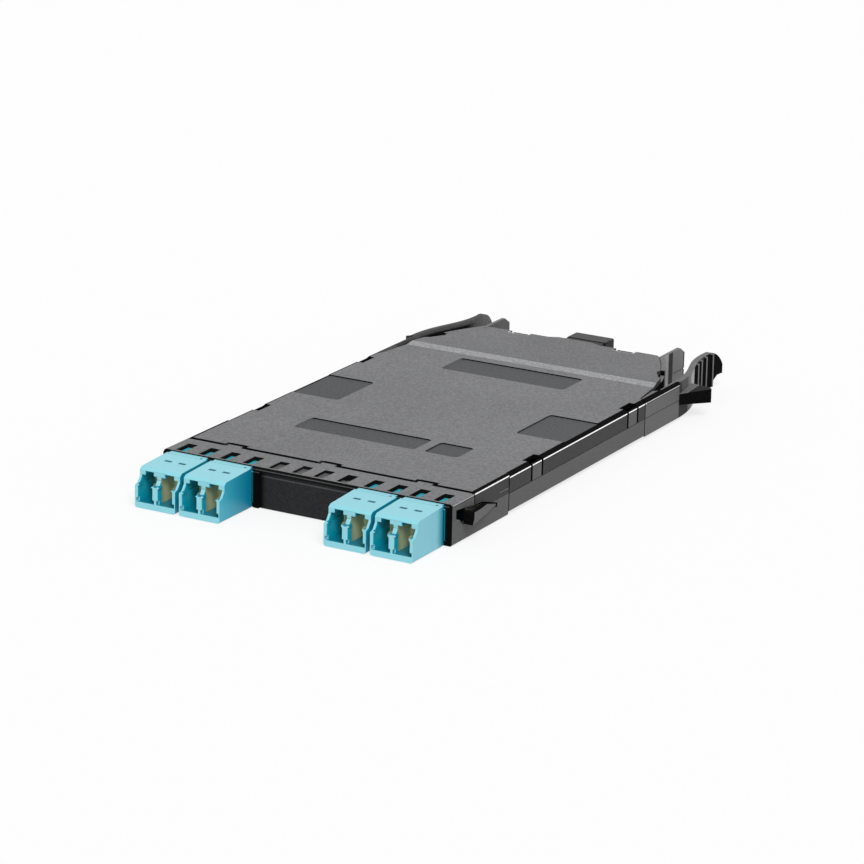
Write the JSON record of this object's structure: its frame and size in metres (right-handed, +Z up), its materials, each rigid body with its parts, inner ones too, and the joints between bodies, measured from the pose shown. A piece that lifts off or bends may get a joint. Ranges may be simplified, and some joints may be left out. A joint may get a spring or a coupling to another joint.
{
  "type": "fibre cassette",
  "caption": "Slim fibre cassette: flat two-part housing with duplex plug ports at the front, sprung latch tabs and rear latch levers, and a capped multi-fibre port behind.",
  "frame": {"origin": "on the flat underside, in the middle of the overall length and width", "axes": "+Y from the front ports to the rear port, +X to the right seen from the front, +Z up through the cover"},
  "size_m": [0.1016, 0.1892, 0.0121],
  "materials": {
    "housing": "fine spark texture",
    "cover": "fine spark texture",
    "black_plastic": "satin",
    "aqua_plastic": "satin",
    "amber_plastic": "clear amber",
    "ceramic": "ground white ceramic",
    "plug_plastic": "satin",
    "fibre_jacket": "smooth",
    "cap_rubber": "satin"
  },
  "bodies": {
    "cassette": {"alignment_sleeves_1": "ceramic", "alignment_sleeves_2": "ceramic", "alignment_sleeves_3": "ceramic", "alignment_sleeves_4": "ceramic", "base_shell": "housing", "blank_panel": "black_plastic", "fibre_breakout_block": "black_plastic", "fibre_leg_1": "fibre_jacket", "fibre_leg_2": "fibre_jacket", "fibre_leg_3": "fibre_jacket", "fibre_leg_4": "fibre_jacket", "fibre_leg_5": "fibre_jacket", "fibre_leg_6": "fibre_jacket", "fibre_leg_7": "fibre_jacket", "fibre_leg_8": "fibre_jacket", "fibre_trunk": "fibre_jacket", "lc_adapter_1": "aqua_plastic", "lc_adapter_2": "aqua_plastic", "lc_adapter_3": "aqua_plastic", "lc_adapter_4": "aqua_plastic", "lc_plug_1": "plug_plastic", "lc_plug_2": "plug_plastic", "lc_plug_3": "plug_plastic", "lc_plug_4": "plug_plastic", "lc_plug_5": "plug_plastic", "lc_plug_6": "plug_plastic", "lc_plug_7": "plug_plastic", "lc_plug_8": "plug_plastic", "rear_mpo_adapter": "black_plastic", "rear_mpo_plug": "black_plastic", "sleeve_holder_1": "amber_plastic", "sleeve_holder_2": "amber_plastic", "sleeve_holder_3": "amber_plastic", "sleeve_holder_4": "amber_plastic", "top_cover": "cover"},
    "rear_latch_lever_left_body": {"rear_latch_lever_left": "housing"},
    "rear_latch_lever_right_body": {"rear_latch_lever_right": "housing"},
    "front_latch_tab_left_body": {"front_latch_tab_left": "housing"},
    "front_latch_tab_right_body": {"front_latch_tab_right": "housing"},
    "rear_dust_cap_body": {"rear_dust_cap": "cap_rubber"}
  },
  "joints": [
    {"name": "rear_lever_right_flex", "type": "hinge", "parent": "cassette", "child": "rear_latch_lever_right_body", "pos_m": [0.0445, 0.0358, 0.006], "axis": [0, 0, 1], "range_deg": [0, 3.5], "stiffness_Nm_per_rad": 3},
    {"name": "rear_lever_left_flex", "type": "hinge", "parent": "cassette", "child": "rear_latch_lever_left_body", "pos_m": [-0.0445, 0.0358, 0.006], "axis": [0, 0, 1], "range_deg": [-3.5, 0], "stiffness_Nm_per_rad": 3},
    {"name": "front_tab_right_flex", "type": "hinge", "parent": "cassette", "child": "front_latch_tab_right_body", "pos_m": [0.04375, -0.0542, 0.005], "axis": [0, 0, 1], "range_deg": [-7, 0], "stiffness_Nm_per_rad": 0.9},
    {"name": "front_tab_left_flex", "type": "hinge", "parent": "cassette", "child": "front_latch_tab_left_body", "pos_m": [-0.04375, -0.0542, 0.005], "axis": [0, 0, 1], "range_deg": [0, 7], "stiffness_Nm_per_rad": 0.9},
    {"name": "dust_cap_pull", "type": "slide", "parent": "cassette", "child": "rear_dust_cap_body", "axis": [0, 1, 0], "range_m": [0, 0.012]}
  ]
}
